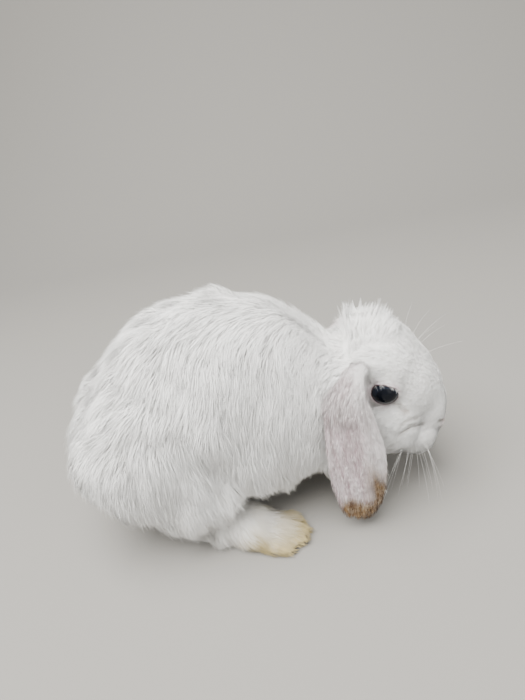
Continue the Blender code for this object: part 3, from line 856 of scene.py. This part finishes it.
def lock_spines(roots, tufts):
    """Root, middle and tip of each lock, at t = 0, MIDWAY and 1: L t cos(rise) along the lie, held
    to the skin, raised by L sin(rise) (1 - (1 - t)^2), bent sideways by t^2, and drawn towards
    its tuft's own line by pull t^1.6; steep ones stand straight out along the lie."""
    place, normal, lie = roots["place"], roots["normal"], roots["lie"]
    length, steep = roots["length"], roots["rise"]
    count = len(place)
    stand = ramp(0.5, 0.95, steep)[:, None]
    upright = lie + rng.normal(0, 0.1, (count, 3))
    lie = unit(lie - normal * (lie * normal).sum(1, keepdims=True))
    side = np.cross(normal, lie)
    turn = rng.normal(0, 0.12, count)
    length = length * (1 + rng.uniform(-0.25, 0.15, count) * (1 - 0.5 * stand[:, 0]))
    rise = steep * rng.uniform(0.7, 1.25, count) * np.where(rng.random(count) < GUARD_SHARE, 2, 1)
    tone = np.full(count, 0.5)
    groups = [(clumped(place, spacing), *ways) for spacing, *ways in tufts]
    for tuft, _, stray, lift in groups:
        number = tuft.max() + 1
        turn = turn + rng.normal(0, stray, number)[tuft] * (1 + ramp(0.5, 1, steep))
        spread = 0.1 - 0.03 * stand[:, 0]
        length = length * (1 + spread * rng.uniform(-1, 1, number)[tuft])
        rise = rise * np.exp(rng.normal(0, lift, number))[tuft]
        tone = tone + rng.normal(0, 0.2, number)[tuft]
        upright = upright + rng.normal(0, 0.13, (number, 3))[tuft]
    rise = np.minimum(rise, np.maximum(0.42, 1.2 * steep))
    lie = lie * np.cos(turn)[:, None] + side * np.sin(turn)[:, None]
    bend = rng.normal(0, 0.07, count)
    root = place - normal * ROOT_DEPTH
    lines = []
    for t in (MIDWAY, 1):
        flat = place + (lie * (length * t * np.cos(rise))[:, None]
                        + side * (length * bend * t * t)[:, None])
        height = (length * np.sin(rise) * (1 - (1 - t) ** 2) + 0.0002)[:, None]
        found = [hair_tree.find_nearest(spot)[:2] for spot in flat]
        base, up = (np.array(part) for part in zip(*found))
        held = base + up * height
        free = flat + normal * height
        off = ((free - held) * up).sum(1, keepdims=True)
        hang = np.maximum(0.25 + 0.6 * ramp(0.5, 0.97, -lie[:, 2:]), ramp(0.3, 0.7, rise)[:, None])
        laid = held + (free - held) * np.where(off > 0, hang, 0)
        line = laid + (place + upright * (length * t)[:, None] - laid) * stand
        for tuft, pull, _, _ in groups:
            drawn = np.minimum(pull * (1 + 1.2 * ramp(0.35, 0.95, steep)), 0.9)[:, None]
            line = line + (tuft_mean(line, tuft) - line) * drawn * t ** 1.6
        lines.append(line)
    return root, *lines, length, np.clip(tone, 0, 1)


def put_locks(name, roots, tufts, replaced, softness=0.68):
    """One joined mesh of locks, each a root, three corners round the middle and a tip, its width
    0.12 mm + 0.014 of the length, its unwrap a patch 0.003 across at its root's."""
    root, middle, tip, length, tone = lock_spines(roots, tufts)
    tangent = unit(tip - root)
    side = unit(np.cross(tangent, roots["normal"]))
    up = np.cross(tangent, side)
    width = (0.00012 + 0.014 * length)[:, None] * (1 - 0.45 * MIDWAY)
    ring = [middle + side * (across * width / 2) + up * (high * width / 4)
            for across, high in ((1, -0.5), (0, 1), (-1, -0.5))]
    points = np.stack([root, *ring, tip], 1)
    points[..., 2] = np.maximum(points[..., 2], HAIR_LOWEST)
    k = np.arange(3)
    after, start, end, half = (k + 1) % 3, k / 3, (k + 1) / 3, (k + 0.5) / 3
    faces = np.concatenate([rows_of(0, 1 + after, 1 + k), rows_of(1 + k, 1 + after, 4)])
    patch = np.concatenate([rows_of(half, 0, end, MIDWAY, start, MIDWAY),
                            rows_of(start, MIDWAY, end, MIDWAY, half, 1)]).reshape(6, 3, 2)
    triangles = (faces + 5 * np.arange(len(root))[:, None, None]).reshape(-1, 3)
    points = points.reshape(-1, 3)
    thing = put_mesh(name, points, triangles)
    spots = roots["uv"][:, None, None] + PATCH * (patch - 0.5)
    thing.data.uv_layers.new(name="OFBake").data.foreach_set("uv", np.ravel(spots).astype(np.float32))
    own = normals_of(points, triangles)
    soft = unit(own * (1 - softness) + np.repeat(roots["normal"], 5, axis=0) * softness)
    thing.data.normals_split_custom_set_from_vertices(soft.tolist())
    add_colours(thing, "marks_and_shade", np.repeat(roots["marks_and_shade"], 5, axis=0))
    along = (0, MIDWAY, MIDWAY, MIDWAY, 1)
    add_colours(thing, "strand", rows_of(along, rng.random(len(root))[:, None], tone[:, None], 1))
    thing.data.materials.append(coat_look)
    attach(thing, "root")
    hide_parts(*replaced)


coat_look, shade = principled("coat_look", 0.7, Specular_IOR_Level=0.15, Sheen_Weight=0.1,
                              Sheen_Roughness=0.4)
along, tone, tuft = shade.attribute("strand").parts()
# Painted shade: each lock darker towards its root, as shaded deep in the coat.
white = along.clip(0, 0.6).mixed((0.86, 0.85, 0.83), (0.97, 0.97, 0.965))
white = (tone * 0.2).mixed(white, (0.88, 0.87, 0.85))
white = (tuft * 0.25).mixed(white, (0.83, 0.82, 0.8))
lilac = streaked(shade).mixed((0.42, 0.32, 0.335), (0.82, 0.75, 0.76))
lilac = (tone.clip(0.5, 1) * 0.7).mixed(lilac, (0.9, 0.86, 0.87))
# Dry crust of the ear tips; the same colour darkens the hair over the face's creases as painted shade.
crust_and_crease_shade = (streaked(shade) * 0.6 + tone * 0.5).clip(0.35, 1.2)
crust_and_crease_shade = crust_and_crease_shade.mixed((0.045, 0.018, 0.008), (0.44, 0.27, 0.12))
marked_and_shaded(shade, white, lilac, crust_and_crease_shade).feeds("Base Color")

centre = skin_points[skin_faces].mean(1)
face_length = skin_length[skin_faces].mean(1)
on_ear = ear_mask[skin_faces].mean(1) > 0.5
hairy = ~is_bare[skin_faces].any(1)
is_long = face_length >= SHORT
on_head = (centre[:, 0] > HEAD_FROM) & (centre[:, 2] > HEAD_ABOVE)
even = np.ones(len(skin_points))
ear_density = even.copy()
ear_density[ear_start:rim_start] = 1 + 3 * np.tile(ramp(0.45, 0.2, ear_down), 2)
# Each kind of tuft: its spacing, its pull on the tips, and how its turn and its rise stray.
BODY_TUFTS = ((0.02, 0, 0.15, 0.25), (0.007, 0.06, 0.08, 0.16), (0.0021, 0.32, 0.05, 0.12))
FACE_TUFTS = ((0.007, 0, 0.12, 0.25), (0.003, 0.45, 0.1, 0.25))
EAR_TUFTS = ((0.006, 0, 0.06, 0.2), (0.0022, 0.35, 0.05, 0.25))
FOOT_TUFTS = ((0.009, 0, 0.1, 0.25), (0.0024, 0.42, 0.08, 0.15))
cuts = (-1, -0.086, -0.06, -0.034, -0.006, 0.026, 1)
names = ("rump", "haunches", "loins", "flanks", "ribs", "shoulders")
for name, low, high in zip(names, cuts[:-1], cuts[1:]):
    here = ~on_ear & hairy & is_long & (centre[:, 0] >= low) & (centre[:, 0] < high)
    put_locks("coat_" + name, scattered(here, even, BODY_LOCKS), BODY_TUFTS, ["trunk"])
for name, side in (("left", 1), ("right", -1)):
    here = ~on_ear & hairy & ~is_long & on_head & (centre[:, 1] * side > 0)
    put_locks("coat_face_" + name, scattered(here, 1 / (0.002 + skin_length), FACE_LOCKS),
              FACE_TUFTS, ["head"], softness=0.5)
    here = on_ear & (centre[:, 1] * side > 0)
    put_locks("coat_ear_" + name, scattered(here, ear_density, EAR_LOCKS), EAR_TUFTS,
              ["ear_" + name], 0.45)
here = ~on_ear & hairy & ~is_long & ~on_head
put_locks("coat_feet", scattered(here, even, FOOT_LOCKS), FOOT_TUFTS,
          ["hind_foot_left", "hind_foot_right"])

# ------------------------------
# Whiskers and lashes: single stiff white hairs, thick at the root and drawn out to nothing.
# Whiskers stand in rows on the pads and over the eyes; lashes fringe the upper lids.
WHISKER_RADIUS = 0.00006
LASH_RADIUS = 0.00005
HAIR_STEPS, HAIR_AROUND = 13, 5
hair_look = principled("hair_look", 0.4, Base_Color=(0.93, 0.92, 0.9, 1), Specular_IOR_Level=0.4)[0]


def round_hairs(name, hairs, radius):
    """Tapered hairs with the middle line root + L (lead t + droop t^2) and the radius
    r (1 - 0.85 t), each in its own patch of the unwrap."""
    roots, leads, droops, lengths = (np.concatenate(part) for part in zip(*hairs))
    t = np.linspace(0, 1, HAIR_STEPS)[None, :, None]
    spines = roots[:, None] + lengths[:, None, None] * (leads[:, None] * t + droops[:, None] * t * t)
    tangents = unit(np.gradient(spines, axis=1))
    sides = unit(np.cross(tangents, (0.31, 0.12, 0.94)))
    through = np.cross(sides, tangents)
    turn = full_turn(HAIR_AROUND)[:, None]
    rings = (spines[:, :, None] + radius * (1 - 0.85 * t[..., None])
             * (sides[:, :, None] * np.cos(turn) + through[:, :, None] * np.sin(turn)))
    points, triangles = joined([closed_rings(hair) for hair in rings])
    thing = put_mesh(name, points, triangles)
    own = np.stack([np.append(np.repeat(t, HAIR_AROUND), (0, 1)),
                    np.append(np.tile(turn[:, 0] / 7, HAIR_STEPS), (0, 1))], -1)
    faces = [hair_tree.find_nearest(root)[2] for root in roots]
    patch = (skin_uv[faces].mean(1)[:, None] + PATCH * (own - 0.5)).reshape(-1, 2)
    unwrap = thing.data.uv_layers.new(name="OFBake")
    unwrap.data.foreach_set("uv", np.ravel(patch[triangles]).astype(np.float32))
    thing.data.materials.append(hair_look)
    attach(thing, "root")
    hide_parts("head")


def on_skin(points):
    """The nearest places of the skin to some points, a little inside it."""
    hits = [hair_tree.find_nearest(point) for point in points]
    return np.array([place - normal * 0.0004 for place, normal, _, _ in hits])


row, column = np.divmod(np.arange(16), 4)
rows = rows_of(0.0885 + 0.0048 * row, 0.022, 0.035 + 0.0042 * column)
out = rows_of(-0.42 + 0.22 * row, 0.55 - 0.05 * row, -0.7 + 0.08 * column)
brow = np.array(((102.5, 7.5, 99), (104.5, 8.5, 95), (98, 11, 100))) / 1000
up = np.array(((0.42, 0.25, 0.85), (0.7, 0.25, 0.65), (0.25, 0.45, 0.85)))
hairs = []
for side in (1, -1):
    pad = rows + rng.normal(0, 0.0009, (16, 3))
    for roots, leads, droop, low, high in ((pad, out, (-0.1, 0.05, -0.3), 0.019, 0.029),
                                           (brow, up, (0.16, 0.05, -0.16), 0.02, 0.029)):
        leads = unit(leads + rng.normal(0, 0.07, leads.shape))
        hairs.append((on_skin(roots * (1, side, 1)), leads * (1, side, 1),
                      np.broadcast_to(np.array(droop) * (1, side, 1), leads.shape),
                      rng.uniform(low, high, len(roots))))
round_hairs("whiskers", hairs, WHISKER_RADIUS)
hairs = []
for side in (1, -1):
    psi = np.radians(rng.uniform(25, 160, 24))
    sideways = from_gaze(np.pi / 2, psi)
    root = EYE_AT + from_gaze(opening(np.cos(psi), np.sin(psi)), psi) * (EYE_RADIUS + 0.0003)
    leads = unit(GAZE + sideways * rng.uniform(0, 0.5, (24, 1))
                 + EYE_ALONG * rng.normal(0, 0.3, (24, 1)))
    droop = np.broadcast_to((0, 0, -0.3), leads.shape)
    hairs.append((root * (1, side, 1), leads * (1, side, 1), droop, rng.uniform(0.002, 0.0038, 24)))
round_hairs("lashes", hairs, LASH_RADIUS)

# ------------------------------
# The room: a pale floor that sweeps up into the wall, soft studio lights and the camera.
arc = np.linspace(0.05, 1, 20) * np.pi / 2
sweep = np.concatenate([rows_of(np.linspace(-2, 0.55, 24), 0),
                        rows_of(0.55 + 0.5 * np.sin(arc), 0.5 - 0.5 * np.cos(arc)), [[1.05, 2.2]]])
across = np.linspace(-2.5, 2.5, 12)
columns = len(across)
corner = np.arange(len(sweep) - 1)[:, None] * columns + np.arange(columns - 1)
quads = halved(corner, corner + 1, corner + columns + 1, corner + columns)
grid = rows_of(across, sweep[:, :1], sweep[:, 1:])
floor = put_mesh("floor", grid - ZERO * (0, 0, 1), quads)
floor.data.materials.append(principled("paper", 0.85, Base_Color=(0.27, 0.26, 0.245, 1))[0])


def area_light(name, at, size, power, colour):
    """A square soft light at a place, turned to the middle of the rabbit."""
    lamp = bpy.data.lights.new(name, "AREA")
    lamp.size, lamp.energy, lamp.color = size, power, colour
    thing = bpy.data.objects.new(name, lamp)
    back = unit(np.array(at) - LIT)
    right = unit(np.cross((0, 0, 1), back))
    turn = Matrix(np.stack([right, np.cross(back, right), back], 1).tolist()).to_4x4()
    thing.matrix_world = Matrix.Translation(at) @ turn
    bpy.context.scene.collection.objects.link(thing)


LIT = (0, 0, 0.06)
area_light("key", (-0.2, -0.3, 1.2), 1.1, 54, (1, 0.985, 0.945))
area_light("fill", (0.9, -0.9, 0.6), 1.2, 8, (0.98, 0.98, 0.96))
world = bpy.data.worlds.new("studio")
world.use_nodes = True
background = world.node_tree.nodes["Background"].inputs
background["Color"].default_value = (0.94, 0.95, 0.92, 1)
background["Strength"].default_value = 0.66
bpy.context.scene.world = world

CAMERA_AT = np.array((0.0647, -0.2543, 0.25))
CAMERA_DOWN, CAMERA_ROLL, CAMERA_TURN = np.radians((28.7, 13.7, 11))
LENS_MM = 25.971429
SENSOR_MM = 36
ahead = np.array((-np.sin(CAMERA_TURN) * np.cos(CAMERA_DOWN),
                  np.cos(CAMERA_TURN) * np.cos(CAMERA_DOWN), -np.sin(CAMERA_DOWN)))
level_right = np.array((np.cos(CAMERA_TURN), np.sin(CAMERA_TURN), 0))
level_down = np.cross(ahead, level_right)
right = np.cos(CAMERA_ROLL) * level_right + np.sin(CAMERA_ROLL) * level_down
down = np.cos(CAMERA_ROLL) * level_down - np.sin(CAMERA_ROLL) * level_right
lens = bpy.data.cameras.new("camera")
lens.lens, lens.sensor_width = LENS_MM, SENSOR_MM
lens.clip_start, lens.clip_end = 0.01, 20
camera = bpy.data.objects.new("camera", lens)
camera.matrix_world = (Matrix.Translation(CAMERA_AT + ZERO)
                       @ Matrix(np.stack([right, -down, -ahead], 1).tolist()).to_4x4())
bpy.context.scene.collection.objects.link(camera)
bpy.context.scene.camera = camera
